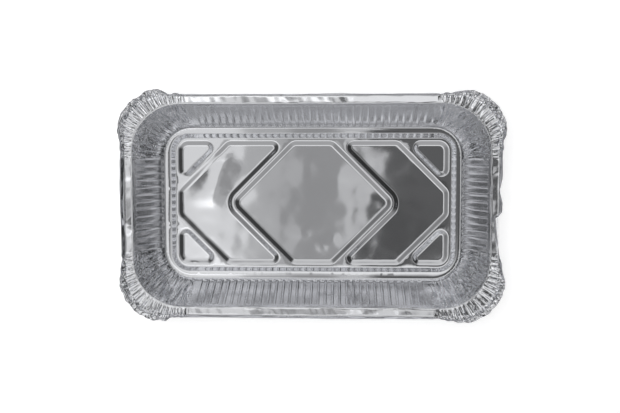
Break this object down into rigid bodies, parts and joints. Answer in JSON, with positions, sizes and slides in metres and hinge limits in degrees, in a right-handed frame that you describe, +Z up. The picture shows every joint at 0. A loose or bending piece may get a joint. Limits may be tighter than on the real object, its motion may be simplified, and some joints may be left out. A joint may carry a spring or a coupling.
{
  "type": "aluminium foil tray",
  "caption": "Rectangular disposable foil tray with fluted sloping walls, raised ribs on the floor, a flat shelf, an upstanding folded lip and gathered corners.",
  "frame": {"origin": "middle of the base, on the surface that the tray stands on", "axes": "+X along the tray's length, +Y along its width, +Z up out of its mouth"},
  "size_m": [0.325, 0.1942, 0.0496],
  "materials": {
    "rolled_foil": "bright rolled foil"
  },
  "bodies": {
    "root": {"foil_tray": "rolled_foil"}
  },
  "joints": []
}
